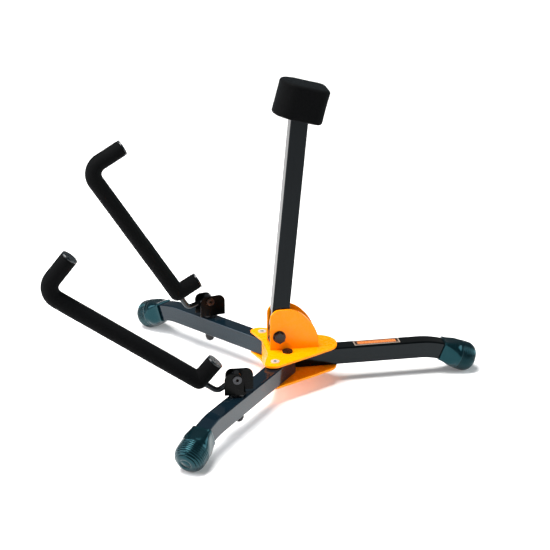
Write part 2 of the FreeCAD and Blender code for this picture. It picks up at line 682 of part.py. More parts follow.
def arm_bracket(side):
    """Pressed bracket: a floor on the swivel bolt, a short outer cheek and a longer inner one."""
    half_gap = size("cheek_gap") / 2
    sheet_t = size("cheek_sheet")
    floor_z, top_z = size("bracket_floor"), size("cheek_top")
    corner = CHEEK_CORNER
    turn = corner * (1 - math.sqrt(0.5))
    pieces = []
    for name, across in (("outer", SIDES[side]), ("inner", -SIDES[side])):
        front, back = size(f"{name}_cheek_front"), -size(f"{name}_cheek_back")
        shape = [
            [(back, floor_z), (back, top_z - corner)],
            [(back, top_z - corner), (back + turn, top_z - turn), (back + corner, top_z)],
            [(back + corner, top_z), (front - corner, top_z)],
            [(front - corner, top_z), (front - turn, top_z - turn), (front, top_z - corner)],
            [(front, top_z - corner), (front, floor_z)],
            [(front, floor_z), (back, floor_z)],
        ]
        face_y = across * (half_gap + sheet_t / 2)
        plane = Placement(Vector(0, face_y, 0), Rotation(X_AXIS, 90))
        cheek = extrusion(f"{side}_{name}_cheek", outline(f"{side}_{name}_side", plane, shape),
                          "Sizes.cheek_sheet", True)
        pieces.append(cheek)
    floor = box(f"{side}_bracket_floor", at(-BRACKET_FLOOR_BACK, -half_gap - sheet_t / 2, floor_z),
                f"{BRACKET_FLOOR_BACK + BRACKET_FLOOR_FRONT}", "Sizes.cheek_gap + Sizes.cheek_sheet",
                "Sizes.cheek_sheet")
    bolt = cylinder(f"{side}_bracket_bolt_bore", at(0, 0, 0), "Sizes.pin_radius + Sizes.running_gap",
                    "Sizes.hinge_height")
    rivet = cylinder(f"{side}_bracket_rivet_bore", at(size("hinge_ahead"), -20, size("hinge_height"), Y_AXIS),
                     f"{RIVET_RADIUS} + Sizes.running_gap", "40")
    bracket = cut(f"{side}_bracket_cut", fuse(f"{side}_bracket_fused", pieces + [floor]), [bolt, rivet])
    sub_part(f"{side}_arm_bracket", bracket, bracket_frame(side))


RIVET_RADIUS = 2.5
RIVET_BORE = 1.5
RIVET_HEAD_RADIUS = 4.2
RIVET_HEAD_HEIGHT = 1.0


def arm_rivet(side):
    """Hollow rivet through the cheeks that the arm tilts on."""
    half = size("cheek_gap") / 2 + size("cheek_sheet")
    x, z = size("hinge_ahead"), size("hinge_height")
    shank = cylinder(f"{side}_rivet_shank", at(x, -half, z, Y_AXIS), f"{RIVET_RADIUS}", f"{2 * half}")
    heads = [cylinder(f"{side}_rivet_head_{i}", at(x, y, z, Y_AXIS), f"{RIVET_HEAD_RADIUS}",
                      f"{RIVET_HEAD_HEIGHT}")
             for i, y in enumerate((-half - RIVET_HEAD_HEIGHT, half))]
    hole = cylinder(f"{side}_rivet_hole", at(x, -2 * half, z, Y_AXIS), f"{RIVET_BORE}", f"{4 * half}")
    rivet = cut(f"{side}_rivet_cut", fuse(f"{side}_rivet_fused", [shank] + heads), [hole])
    sub_part(f"{side}_arm_rivet", rivet, bracket_frame(side))


BEND_RADIUS = 6.0
HEEL_LENGTH = 5.0  # the long sleeve runs this far past the horn
TIP_BEND_RADIUS = 14.0


def rounded_path(points, radii):
    """A wire through points in the arm's plane, with a tangent arc at each inner point."""
    edges = []
    here = points[0]
    for before, corner, after, radius in zip(points, points[1:], points[2:], radii):
        back = (before - corner).normalize()
        ahead = (after - corner).normalize()
        half_turn = (math.pi - back.getAngle(ahead)) / 2
        reach = radius * math.tan(half_turn)
        start = corner + back * reach
        end = corner + ahead * reach
        middle_way = (back + ahead).normalize()
        centre = corner + middle_way * (radius / math.cos(half_turn))
        middle = centre - middle_way * radius
        edges.append(Part.LineSegment(here, start).toShape())
        edges.append(Part.Arc(start, middle, end).toShape())
        here = end
    edges.append(Part.LineSegment(here, points[-1]).toShape())
    return Part.Wire(edges)


def round_bar(path, radius):
    """A round bar along a path of lines and tangent arcs."""
    first = path.Edges[0]
    start = first.Vertexes[0].Point
    along = first.tangentAt(first.FirstParameter)
    ring = Part.Wire(Part.makeCircle(radius, start, along))
    return path.makePipeShell([ring], True, False)


def arm_points():
    """Rod corners in the arm's frame: bend, horn root, end bend, tip end and horn end."""
    bend = Vector(size("knuckle_ahead"), 0, -size("knuckle_down"))
    root = bend + Vector(size("link_length"), 0, 0)
    turn = root + Vector(size("arm_length"), 0, 0)
    tip_angle = math.radians(size("tip_turn"))
    tip = turn + Vector(math.cos(tip_angle), 0, math.sin(tip_angle)) * size("tip_length")
    horn_angle = math.radians(size("horn_turn"))
    horn = root + Vector(math.cos(horn_angle), 0, math.sin(horn_angle)) * size("horn_length")
    return bend, root, turn, tip, horn


def arm_rod(side):
    """Bent steel rod with a welded horn, and the barrel that turns on the rivet."""
    bend, root, turn, tip, horn = arm_points()
    away = Vector(bend).normalize()
    start = away * (size("knuckle_radius") - 0.6)
    cap = size("cap_length")
    tip_stop = tip - (tip - turn).normalize() * cap
    horn_stop = horn - (horn - root).normalize() * cap
    rod = round_bar(rounded_path([start, bend, turn, tip_stop], (BEND_RADIUS, TIP_BEND_RADIUS)),
                    size("rod_radius"))
    stem = round_bar(Part.Wire([Part.LineSegment(root, horn_stop).toShape()]), size("rod_radius"))
    bore = Part.makeCylinder(RIVET_RADIUS + size("running_gap"), 40, Vector(0, -20, 0), Y_AXIS)
    half = size("cheek_gap") / 2 - 0.35
    barrel = Part.makeCylinder(size("knuckle_radius"), 2 * half, Vector(0, -half, 0), Y_AXIS)
    sub_part(f"{side}_arm_barrel", feature(f"{side}_barrel_shape", barrel.cut(bore)), arm_frame(side))
    rod = rod.fuse(stem).cut(barrel)
    sub_part(f"{side}_arm_rod", feature(f"{side}_rod_shape", rod.removeSplitter()), arm_frame(side))


def arm_foam(side):
    """Foam sleeve over the arm and its upturned end, a short one on the horn, and their end discs."""
    bend, root, turn, tip, horn = arm_points()
    outer = size("foam_radius")
    inner = size("rod_radius") + size("running_gap")
    cap = size("cap_length")
    heel = root - X_AXIS * HEEL_LENGTH
    tip_stop = tip - (tip - turn).normalize() * cap
    path = rounded_path([heel, turn, tip_stop], (TIP_BEND_RADIUS,))
    sleeve = round_bar(path, outer)
    past = rounded_path([heel - X_AXIS, turn, tip + (tip - turn).normalize()], (TIP_BEND_RADIUS,))
    hollow = round_bar(past, inner)
    horn_way = (horn - root).normalize()
    horn_hole = Part.makeCylinder(inner, size("horn_length") + 1, root, horn_way)
    long_sleeve = sleeve.cut(hollow).cut(horn_hole)
    sub_part(f"{side}_arm_sleeve", feature(f"{side}_sleeve_shape", long_sleeve), arm_frame(side))

    horn_body = Part.makeCylinder(outer, size("horn_length") - cap, root, horn_way)
    trunk = Part.makeCylinder(outer + 0.05, 5 * outer, heel - X_AXIS * outer, X_AXIS)
    short_sleeve = horn_body.cut(horn_hole).cut(trunk)
    sub_part(f"{side}_horn_sleeve", feature(f"{side}_horn_shape", short_sleeve), arm_frame(side))

    tip_way = (tip - turn).normalize()
    for name, end, way in (("arm", tip, tip_way), ("horn", horn, horn_way)):
        disc = Part.makeCylinder(outer, cap, end - way * cap, way)
        disc = disc.makeFillet(cap * 0.6, [edge for edge in disc.Edges
                                           if edge.Closed and edge.CenterOfMass.distanceToPoint(end) < 0.01])
        sub_part(f"{side}_{name}_end_disc", feature(f"{side}_{name}_disc_shape", disc), arm_frame(side))


# ---------------------------------------------------------------- build
hub_shell()
upright_bracket()
hub_bolt()
rear_leg()
boot("rear_boot", size("rear_reach"), REAR)
rear_leg_fixings()
blank_label()
backrest_post()
backrest_pad()
for side in SIDES:
    fold_pin(side)
    detent_eyelet(side)
    front_leg(side)
    boot(f"{side}_boot", size("front_reach"), leg_frame(side))
    snap_clip(side)
    swivel_bolt(side)
    arm_bracket(side)
    arm_rivet(side)
    arm_rod(side)
    arm_foam(side)
doc.recompute()

for item in doc.Objects:
    if "Invalid" in item.State or "Error" in item.State:
        raise RuntimeError(f"{item.Name} failed: {item.State}")
for item in SUB_PARTS:
    if item.Shape.isNull() or not item.Shape.isValid():
        raise RuntimeError(f"{item.Label} has no valid shape")

os.makedirs("parts", exist_ok=True)
for item in SUB_PARTS:
    item.Shape.exportStep(f"parts/{item.Label}.step")

whole = FreeCAD.BoundBox()
for item in SUB_PARTS:
    whole.add(item.Shape.optimalBoundingBox(True, False))
    print(f"{item.Label:24s} solids {len(item.Shape.Solids)}  volume {item.Shape.Volume:10.1f}")
print(f"{len(SUB_PARTS)} sub-parts, size {whole.XLength:.2f} x {whole.YLength:.2f} x {whole.ZLength:.2f},")
print(f"middle {whole.Center.x:.3f}, {whole.Center.y:.3f}, lowest {whole.ZMin:.4f}")
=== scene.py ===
import json
import math

import bmesh
import bpy
from mathutils import Matrix, Vector, noise


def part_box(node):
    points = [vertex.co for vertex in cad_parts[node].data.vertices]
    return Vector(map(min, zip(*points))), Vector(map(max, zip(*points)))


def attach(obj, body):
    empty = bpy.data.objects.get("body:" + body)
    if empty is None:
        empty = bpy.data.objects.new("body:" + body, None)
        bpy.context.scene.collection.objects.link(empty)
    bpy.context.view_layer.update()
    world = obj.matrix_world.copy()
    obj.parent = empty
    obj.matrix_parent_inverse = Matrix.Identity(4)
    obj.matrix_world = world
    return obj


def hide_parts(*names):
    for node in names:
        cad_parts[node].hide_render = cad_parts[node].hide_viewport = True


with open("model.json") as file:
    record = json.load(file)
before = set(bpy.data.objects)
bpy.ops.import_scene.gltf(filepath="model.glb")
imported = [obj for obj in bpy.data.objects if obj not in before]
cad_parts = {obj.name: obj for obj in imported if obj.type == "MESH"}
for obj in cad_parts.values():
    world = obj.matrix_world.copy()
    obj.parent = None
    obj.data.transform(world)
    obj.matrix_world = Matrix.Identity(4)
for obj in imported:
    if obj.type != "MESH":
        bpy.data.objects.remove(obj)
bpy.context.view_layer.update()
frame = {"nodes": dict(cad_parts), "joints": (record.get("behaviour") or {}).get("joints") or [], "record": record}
JOINTS = {joint["name"]: joint for joint in frame["joints"]}
NODES = frame["nodes"]
MM = 0.001
SIDES = ("right", "left")
UP = Vector((0, 0, 1))


# ---------------------------------------------------------------- camera
CAMERA_PLACE = Vector((1.5331, -0.2567, 0.7264))
CAMERA_RIGHT = Vector((0.174, 0.985, -0.004))
CAMERA_UP = Vector((-0.358, 0.067, 0.931))
LENS_MM = 111.04
SENSOR_MM = 36


def add_camera():
    """The camera at the photograph's viewing angle."""
    data = bpy.data.cameras.new("camera")
    data.lens = LENS_MM
    data.sensor_width = SENSOR_MM
    camera = bpy.data.objects.new("camera", data)
    bpy.context.scene.collection.objects.link(camera)
    right = CAMERA_RIGHT.normalized()
    up = (CAMERA_UP - right * CAMERA_UP.dot(right)).normalized()
    turn = Matrix((right, up, right.cross(up))).transposed().to_4x4()
    camera.matrix_world = Matrix.Translation(CAMERA_PLACE) @ turn
    bpy.context.scene.camera = camera


# ---------------------------------------------------------------- material tools
class Shader:
    """Builds one procedural material node by node."""

    def __init__(self, name):
        self.material = bpy.data.materials.new(name)
        self.material.use_nodes = True
        self.nodes = self.material.node_tree.nodes
        self.links = self.material.node_tree.links
        self.surface = self.nodes["Principled BSDF"]
        self.place = self.nodes.new("ShaderNodeTexCoord").outputs["Object"]

    def set(self, **values):
        """Sets constant inputs on the shader itself; underscores stand for spaces."""
        for key, value in values.items():
            self.surface.inputs[key.replace("_", " ")].default_value = value

    def noise(self, scale, detail=3.0, roughness=0.5, stretch=(1, 1, 1)):
        """Soft noise, with its waves per metre as the scale."""
        mapping = self.nodes.new("ShaderNodeMapping")
        mapping.inputs["Scale"].default_value = stretch
        self.links.new(self.place, mapping.inputs["Vector"])
        node = self.nodes.new("ShaderNodeTexNoise")
        node.inputs["Scale"].default_value = scale
        node.inputs["Detail"].default_value = detail
        node.inputs["Roughness"].default_value = roughness
        self.links.new(mapping.outputs["Vector"], node.inputs["Vector"])
        return node.outputs["Fac"]

    def cells(self, scale):
        """Distance to the middle of small random cells."""
        node = self.nodes.new("ShaderNodeTexVoronoi")
        node.inputs["Scale"].default_value = scale
        self.links.new(self.place, node.inputs["Vector"])
        return node.outputs["Distance"]

    def ramp(self, value, stops):
        """Maps a value to colours; each stop is (position, colour)."""
        node = self.nodes.new("ShaderNodeValToRGB")
        ramp = node.color_ramp
        while len(ramp.elements) < len(stops):
            ramp.elements.new(0.5)
        for element, (position, colour) in zip(ramp.elements, stops):
            element.position = position
            element.color = (*colour, 1)
        self.links.new(value, node.inputs["Fac"])
        return node.outputs["Color"]

    def level(self, value, low, high, start=0.3, end=0.7):
        """Maps a value's range start..end to low..high."""
        node = self.nodes.new("ShaderNodeMapRange")
        node.inputs["From Min"].default_value = start
        node.inputs["From Max"].default_value = end
        node.inputs["To Min"].default_value = low
        node.inputs["To Max"].default_value = high
        self.links.new(value, node.inputs["Value"])
        return node.outputs["Result"]

    def bump(self, value, strength, distance):
        """Adds a bump layer on top of those already there."""
        node = self.nodes.new("ShaderNodeBump")
        node.inputs["Strength"].default_value = strength
        node.inputs["Distance"].default_value = distance
        self.links.new(value, node.inputs["Height"])
        previous = self.surface.inputs["Normal"]
        if previous.is_linked:
            self.links.new(previous.links[0].from_socket, node.inputs["Normal"])
        self.links.new(node.outputs["Normal"], previous)

    def link(self, value, socket):
        """Feeds a value that varies over the surface into one of the shader's inputs."""
        self.links.new(value, self.surface.inputs[socket])

    def axis(self, letter):
        """One coordinate of the shaded point, in the piece's own frame."""
        node = self.nodes.new("ShaderNodeSeparateXYZ")
        self.links.new(self.place, node.inputs["Vector"])
        return node.outputs[letter]

    def calc(self, operation, *values):
        """A math node on sockets or plain numbers."""
        node = self.nodes.new("ShaderNodeMath")
        node.operation = operation
        for socket, value in zip(node.inputs, values):
            if isinstance(value, (int, float)):
                socket.default_value = value
            else:
                self.links.new(value, socket)
        return node.outputs["Value"]


def gloss_enamel(name, dark, light, rough=(0.07, 0.16), gloss=0.5, peel=0.03):
    """Gloss powder coat: faint colour drift, orange peel and soft handling marks."""
    shader = Shader(name)
    shader.set(IOR=1.5, Specular_IOR_Level=gloss, Specular_Tint=(0.82, 0.93, 1.0, 1))
    shader.link(shader.ramp(shader.noise(38, 4), [(0.3, dark), (0.7, light)]), "Base Color")
    marks = shader.noise(160, 6, 0.65, (1, 1, 0.35))
    shader.link(shader.level(marks, rough[0], rough[1], 0.42, 0.7), "Roughness")
    shader.bump(shader.noise(420, 2), peel, 0.0004)
    return shader.material


def hub_enamel():
    """Orange gloss powder coat, a little thinner and paler in patches."""
    shader = Shader("hub_enamel")
    shader.set(Specular_IOR_Level=0.12, Coat_Weight=0.04, Coat_Roughness=0.1, IOR=1.5)
    drift = shader.ramp(shader.noise(30, 3), [(0.3, (1.0, 0.262, 0.0)), (0.7, (1.0, 0.285, 0.0))])
    shader.link(drift, "Base Color")
    shader.link(shader.level(shader.noise(210, 6, 0.7), 0.22, 0.38, 0.4, 0.7), "Roughness")
    shader.bump(shader.noise(520, 2), 0.025, 0.0004)
    shader.bump(shader.noise(60, 2), 0.012, 0.001)
    return shader.material


def satin_enamel(name, colour, rough):
    """Satin black coat on pressed sheet and bar, with fine grain and rubbed patches."""
    shader = Shader(name)
    shader.set(Specular_IOR_Level=0.07, IOR=1.5)
    pale = tuple(channel * 1.9 + 0.001 for channel in colour)
    shader.link(shader.ramp(shader.noise(70, 5), [(0.35, colour), (0.75, pale)]), "Base Color")
    shader.link(shader.level(shader.noise(300, 6, 0.7), rough[0], rough[1]), "Roughness")
    shader.bump(shader.noise(1500, 3), 0.02, 0.0003)
    return shader.material


def foam_rubber():
    """Closed-cell foam: matte black, fine open pores, a slightly uneven skin and a trace of dust."""
    shader = Shader("foam_rubber")
    shader.set(Specular_IOR_Level=0.06, Sheen_Weight=0.02, Sheen_Roughness=0.4,
               Sheen_Tint=(0.6, 0.85, 1.0, 1))
    pores = shader.cells(1900)
    skin = shader.noise(240, 5, 0.65)
    colour = shader.ramp(skin, [(0.3, (0.0006, 0.0007, 0.0008)), (0.62, (0.0016, 0.0018, 0.002)),
                                (0.9, (0.006, 0.006, 0.006))])
    shader.link(colour, "Base Color")
    shader.link(shader.level(skin, 0.72, 0.92), "Roughness")
    shader.bump(pores, 0.35, 0.0003)
    shader.bump(skin, 0.25, 0.0006)
    shader.bump(shader.noise(48, 2), 0.2, 0.0012)
    return shader.material


def boot_rubber():
    """Moulded semi-gloss rubber with a cool bloom that drifts over it."""
    shader = Shader("boot_rubber")
    shader.set(IOR=1.52, Specular_IOR_Level=0.42, Specular_Tint=(0.25, 0.85, 1.0, 1))
    bloom = shader.ramp(shader.noise(55, 5, 0.6),
                        [(0.3, (0.0012, 0.006, 0.008)), (0.75, (0.0018, 0.009, 0.012))])
    shader.link(bloom, "Base Color")
    shader.link(shader.level(shader.noise(330, 3, 0.5), 0.15, 0.2), "Roughness")
    shader.bump(shader.noise(900, 3), 0.012, 0.0002)
    return shader.material


def plated(name, colour, rough, metallic=1.0):
    """Plated or blackened steel with turning marks and slight tarnish."""
    shader = Shader(name)
    shader.set(Metallic=metallic)
    dull = tuple(channel * 0.72 for channel in colour)
    shader.link(shader.ramp(shader.noise(500, 5, 0.6), [(0.35, dull), (0.7, colour)]), "Base Color")
    shader.link(shader.level(shader.noise(1200, 4, 0.6, (1, 1, 4)), rough[0], rough[1]), "Roughness")
    shader.bump(shader.noise(1800, 3, 0.5, (1, 1, 5)), 0.03, 0.0002)
    return shader.material


def moulded(name, colour, rough, coat=0.0):
    """Moulded plastic with a fine spark-eroded grain."""
    shader = Shader(name)
    shader.set(IOR=1.49, Coat_Weight=coat, Coat_Roughness=0.08)
    pale = tuple(min(1, channel * 1.25 + 0.001) for channel in colour)
    shader.link(shader.ramp(shader.noise(180, 4), [(0.35, colour), (0.7, pale)]), "Base Color")
    shader.link(shader.level(shader.noise(700, 5), rough[0], rough[1]), "Roughness")
    shader.bump(shader.noise(1600, 3), 0.08, 0.0002)
    return shader.material


LABEL_MARGIN = 1.1
BAR_INSET_X, BAR_INSET_Y = 1.3, 2.6
LABEL_COLOURS = [
    (0.0, (0.34, 0.27, 0.22)), (0.3, (0.30, 0.23, 0.18)),  # pale margin
    (0.42, (0.03, 0.014, 0.008)), (0.52, (0.035, 0.016, 0.009)),  # dark field
    (0.85, (0.55, 0.15, 0.03)), (1.0, (0.62, 0.18, 0.04)),  # amber bar
]


def label_face():
    """Blank gloss label: a plain amber bar on a dark field, inside a pale printed margin."""
    shader = Shader("label_face")
    shader.set(IOR=1.5, Coat_Weight=0.5, Coat_Roughness=0.1)
    low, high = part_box("blank_label")
    centre = (low + high) / 2
    half = (high - low) / 2

    def depth(letter, middle, reach):
        """How far the shaded point lies inside the margin, along one axis."""
        offset = shader.calc("ABSOLUTE", shader.calc("SUBTRACT", shader.axis(letter), middle))
        return shader.calc("SUBTRACT", reach - LABEL_MARGIN * MM, offset)

    def inside(depth_x, depth_y):
        return shader.calc("GREATER_THAN", shader.calc("MINIMUM", depth_x, depth_y), 0.0)

    depth_x = depth("X", centre.x, half.x)
    depth_y = depth("Y", centre.y, half.y)
    grain = shader.noise(900, 4)
    field = shader.calc("SUBTRACT", inside(depth_x, depth_y), shader.calc("MULTIPLY", grain, 0.12))
    bar = inside(shader.calc("SUBTRACT", depth_x, BAR_INSET_X * MM),
                 shader.calc("SUBTRACT", depth_y, BAR_INSET_Y * MM))
    zone = shader.calc("MULTIPLY", shader.calc("ADD", field, bar), 0.5)
    shader.link(shader.ramp(zone, LABEL_COLOURS), "Base Color")
    shader.link(shader.level(grain, 0.2, 0.34), "Roughness")
    shader.bump(grain, 0.05, 0.0002)
    return shader.material


LOOKS = {
    "hub_enamel": hub_enamel(),
    # painted reflection: the leg enamel's blue tint stands in for cool light reflected off the black coat
    "leg_enamel": gloss_enamel("leg_enamel", (0.002, 0.006, 0.010), (0.004, 0.011, 0.017), gloss=0.36),
    "bracket_enamel": satin_enamel("bracket_enamel", (0.0008, 0.001, 0.001), (0.22, 0.27)),
    "post_enamel": gloss_enamel("post_enamel", (0.0006, 0.0007, 0.0009), (0.0014, 0.0016, 0.002),
                                gloss=0.14),
    "rear_enamel": gloss_enamel("rear_enamel", (0.0006, 0.0012, 0.0013), (0.0014, 0.0024, 0.0026),
                                gloss=0.2),
    "rod_enamel": gloss_enamel("rod_enamel", (0.001, 0.0012, 0.0014), (0.003, 0.0034, 0.004),
                               rough=(0.12, 0.22)),
    "boot_rubber": boot_rubber(),
    "foam_rubber": foam_rubber(),
    "black_oxide": plated("black_oxide", (0.006, 0.006, 0.007), (0.2, 0.36), 0.4),
    "nickel": plated("nickel", (0.86, 0.82, 0.76), (0.2, 0.34), 0.55),
    "smoked_nickel": plated("smoked_nickel", (0.05, 0.052, 0.056), (0.2, 0.34)),
    "zinc": plated("zinc", (0.62, 0.63, 0.66), (0.24, 0.42)),
    "nylon": moulded("nylon", (0.62, 0.60, 0.55), (0.4, 0.55)),
    "black_plastic": moulded("black_plastic", (0.001, 0.004, 0.006), (0.24, 0.32), 0.15),
    "label_face": label_face(),
    "spring_steel": plated("spring_steel", (0.48, 0.48, 0.5), (0.25, 0.4)),
}

# CAD nodes whose finish differs a little from the rest of their material slot; the rear leg tube's copy is darker
# and leaves out the leg enamel's painted blue reflection
OTHER_LOOKS = {
    "arm_rivet": "smoked_nickel",
    "backrest_post": "post_enamel",
    "rear_leg_tube": "rear_enamel",
}


def dress_cad_nodes():
    """Gives every CAD node the finish of its material slot, or its own where it has one."""
    for row in frame["record"]["subparts"]:
        node = NODES[row["node"]]
        node.data.materials.clear()
        look = row["material_slot"]
        for ending, other in OTHER_LOOKS.items():
            if row["node"].endswith(ending):
                look = other
        node.data.materials.append(LOOKS[look])


# ---------------------------------------------------------------- mesh tools
def mesh_object(name, mesh_data, look):
    """Links a bmesh as a smooth-shaded object."""
    mesh = bpy.data.meshes.new(name)
    bmesh.ops.recalc_face_normals(mesh_data, faces=mesh_data.faces)
    mesh_data.to_mesh(mesh)
    mesh_data.free()
    smooth_shade(mesh)
    piece = bpy.data.objects.new(name, mesh)
    bpy.context.scene.collection.objects.link(piece)
    mesh.materials.append(LOOKS[look])
    return piece


def modify(piece, kind, **settings):
    """Adds a modifier and applies it."""
    modifier = piece.modifiers.new(kind.lower(), kind)
    for key, value in settings.items():
        setattr(modifier, key, value)
    bpy.context.view_layer.update()
    shape = piece.evaluated_get(bpy.context.evaluated_depsgraph_get())
    mesh = bpy.data.meshes.new_from_object(shape)
    piece.modifiers.clear()
    old = piece.data
    piece.data = mesh
    bpy.data.meshes.remove(old)


def smooth_shade(mesh):
    for polygon in mesh.polygons:
        polygon.use_smooth = True


def move_vertices(mesh, places):
    """Puts every vertex of a mesh at its new place."""
    mesh.vertices.foreach_set("co", [value for place in places for value in place])
    mesh.update()


def soft_corner(before, corner, after, radius, steps):
    """Points on the tangent arc that rounds a corner."""
    back = (before - corner).normalized()
    ahead = (after - corner).normalized()
    half_turn = (math.pi - back.angle(ahead)) / 2
    reach = radius * math.tan(half_turn)
    middle_way = (back + ahead).normalized()
    centre = corner + middle_way * (radius / math.cos(half_turn))
    start = (corner + back * reach - centre).normalized()
    end = (corner + ahead * reach - centre).normalized()
    return [centre + start.slerp(end, i / steps) * radius for i in range(steps + 1)]


def join_loops(mesh_data, low, high):
    """Fills the band between two closed loops of equally many vertices."""
    count = len(low)
    for k in range(count):
        mesh_data.faces.new((low[k], low[(k + 1) % count], high[(k + 1) % count], high[k]))


TUBE_SIDES = 40
TUBE_RIM = 1.0 * MM
RIM_STEPS = 3


def swept_tube(mesh_data, path, radius):
    """Adds a closed round tube along a path lying in one plane, with softly rounded ends."""
    rings = []
    for i, point in enumerate(path):
        before = path[max(i - 1, 0)]
        after = path[min(i + 1, len(path) - 1)]
        rings.append((point, (after - before).normalized(), radius))

    def rounded_end(ring, inward):
        """Rings that round one end, from its flat face in to the full radius."""
        point, along, full = ring
        made = []
        for step in range(RIM_STEPS + 1):
            angle = math.pi / 2 * step / RIM_STEPS
            made.append((point + along * (inward * TUBE_RIM * (1 - math.cos(angle))), along,
                         full - TUBE_RIM * (1 - math.sin(angle))))
        return made

    rings = rounded_end(rings[0], 1) + rings[1:-1] + rounded_end(rings[-1], -1)[::-1]
    loops = []
    normal = rings[0][1].orthogonal().normalized()
    for point, along, half in rings:
        normal = (normal - along * normal.dot(along)).normalized()
        side = along.cross(normal)
        loop = []
        for k in range(TUBE_SIDES):
            angle = 2 * math.pi * k / TUBE_SIDES
            spoke = normal * math.cos(angle) + side * math.sin(angle)
            loop.append(mesh_data.verts.new(point + spoke * half))
        loops.append(loop)
    for low, high in zip(loops, loops[1:]):
        join_loops(mesh_data, low, high)
    mesh_data.faces.new(loops[0][::-1])
    mesh_data.faces.new(loops[-1])


def add_ball(mesh_data, centre, radius):
    """Adds a ball, which rounds the outside of a corner between two tubes."""
    made = bmesh.ops.create_uvsphere(mesh_data, u_segments=32, v_segments=20, radius=radius)
    bmesh.ops.translate(mesh_data, verts=made["verts"], vec=centre)


def along_line(start, end, step):
    """Points about a step apart on the line from start to end."""
    count = max(2, round((end - start).length / step))
    return [start.lerp(end, i / count) for i in range(count + 1)]


# ---------------------------------------------------------------- padded arms
# millimetres and degrees, as in the CAD arm rods
ARM_RISE = {"right": 34.5, "left": 58.0}
KNUCKLE = (7.3, -21.6)  # the rod's first bend, along and square to the arm from its rivet
LINK_LENGTH = 21.2
ARM_LENGTH = 170.3
TIP_LENGTH, TIP_TURN, TIP_BEND_RADIUS = 42.2, 94.7, 14.0
HORN_LENGTH, HORN_TURN = 25.3, 95.7
FOAM_RADIUS = 8.4
CAP_LENGTH = 1.6  # the end discs close the sleeve here
FOAM_VOXEL = 0.75
BEND_STEPS = 14
# foam skin: (height in millimetres, waves per metre)
ARM_SKIN = ((0.10, 90), (0.05, 310))
PAD_SKIN = ((0.16, 75), (0.05, 300))
CREASE_DEPTH = 0.32
CREASE_TURN = 1.5  # radians of crease per millimetre
CORNER_CREASE_REACH, ELBOW_CREASE_REACH = 20, 13


class ArmPlane:
    """Turns millimetres along and square to a padded arm into places in the scene."""

    def __init__(self, side):
        hinge = JOINTS[f"{side}_arm_tilt"]
        self.rivet = Vector(hinge["pos_m"])
        ahead = Vector((-hinge["axis"][1], hinge["axis"][0], 0)).normalized()
        rise = math.radians(ARM_RISE[side])
        self.along = ahead * math.cos(rise) + UP * math.sin(rise)
        self.square = UP * math.cos(rise) - ahead * math.sin(rise)

    def at(self, along, square):
        return self.rivet + self.along * (along * MM) + self.square * (square * MM)


def skin_height(point, waves):
    """Uneven foam skin: noise of several sizes, in metres."""
    return sum(height * MM * noise.noise(point * scale) for height, scale in waves)


def arm_foam(side):
    """One foam sleeve over the arm, its upturned end and its horn, creased where it turns."""
    plane = ArmPlane(side)
    root = (KNUCKLE[0] + LINK_LENGTH, KNUCKLE[1])
    turn = (root[0] + ARM_LENGTH, root[1])

    def reach(start, length, angle):
        angle = math.radians(angle)
        return plane.at(start[0] + length * math.cos(angle), start[1] + length * math.sin(angle))

    tip = reach(turn, TIP_LENGTH - CAP_LENGTH, TIP_TURN)
    horn = reach(root, HORN_LENGTH - CAP_LENGTH, HORN_TURN)
    elbow, corner = plane.at(*root), plane.at(*turn)
    arc = soft_corner(tip, corner, elbow, TIP_BEND_RADIUS * MM, BEND_STEPS)
    path = along_line(tip, arc[0], 3 * MM)[:-1] + arc + along_line(arc[-1], elbow, 3 * MM)[1:]
    shape = bmesh.new()
    swept_tube(shape, path, FOAM_RADIUS * MM)
    swept_tube(shape, along_line(horn, elbow, 2 * MM), FOAM_RADIUS * MM)
    add_ball(shape, elbow, FOAM_RADIUS * MM)
    piece = mesh_object(f"{side}_arm_foam", shape, "foam_rubber")
    modify(piece, "REMESH", mode="VOXEL", voxel_size=FOAM_VOXEL * MM)
    modify(piece, "SMOOTH", factor=0.5, iterations=5)
    mesh = piece.data
    smooth_shade(mesh)

    # each bend is creased on its inner side: (middle, reach, way the inner side faces)
    inner_corner = (plane.square - plane.along).normalized()
    inner_elbow = (inner_corner + plane.along * 1.4).normalized()
    creases = ((corner, CORNER_CREASE_REACH * MM, inner_corner),
               (elbow, ELBOW_CREASE_REACH * MM, inner_elbow))
    moved = []
    for vertex in mesh.vertices:
        point = vertex.co.copy()
        swell = skin_height(point, ARM_SKIN)
        for centre, spread, facing in creases:
            offset = point - centre
            near = max(0.0, 1 - offset.length / spread)
            facing_in = max(0.0, vertex.normal.dot(facing))
            around = offset.dot(plane.along + plane.square) / MM
            fold = 0.5 + 0.5 * math.sin(around * CREASE_TURN)
            swell -= CREASE_DEPTH * MM * near * facing_in * fold
        moved.append(point + vertex.normal * swell)
    move_vertices(mesh, moved)
    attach(piece, f"{side}_arm")
    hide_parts(f"{side}_arm_sleeve", f"{side}_horn_sleeve")


# ---------------------------------------------------------------- rubber boots
# millimetres and degrees; places along a boot are counted outward from the end of its leg
BOOT_SLOPE = 22.0
BOOT_LENGTH = 36.0
MOUTH_HALF = 10.3
TOE_RADIUS = 15.1
TOE_HEIGHT = 11.9
TOE_SINK = 0.4  # the toe hangs this far below the line of the tube
REACH = {"rear": 195.5, "right": 202.0, "left": 202.0}
PIVOT_AHEAD = 6.2  # the backrest pivot is this far ahead of the hub centre
BOOT_SIDES = 96
# mouth rim: (place past the mouth, step from its half width, squareness)
MOUTH_ROWS = ((0.0, -1.2, 0.9), (0.0, -0.25, 0.9), (0.3, 0.0, 0.9), (1.2, 0.1, 0.88))
BODY_START, BODY_SQUARENESS, BODY_ROWS = 1.2, 0.88, 22
DOME_START, DOME_END = -8.75, 1.65
DOME_DISC = 6.3
DOME_POWER = 1.9
RING_START = -15.5
RINGS = 8
RING_DEPTH = 1.5
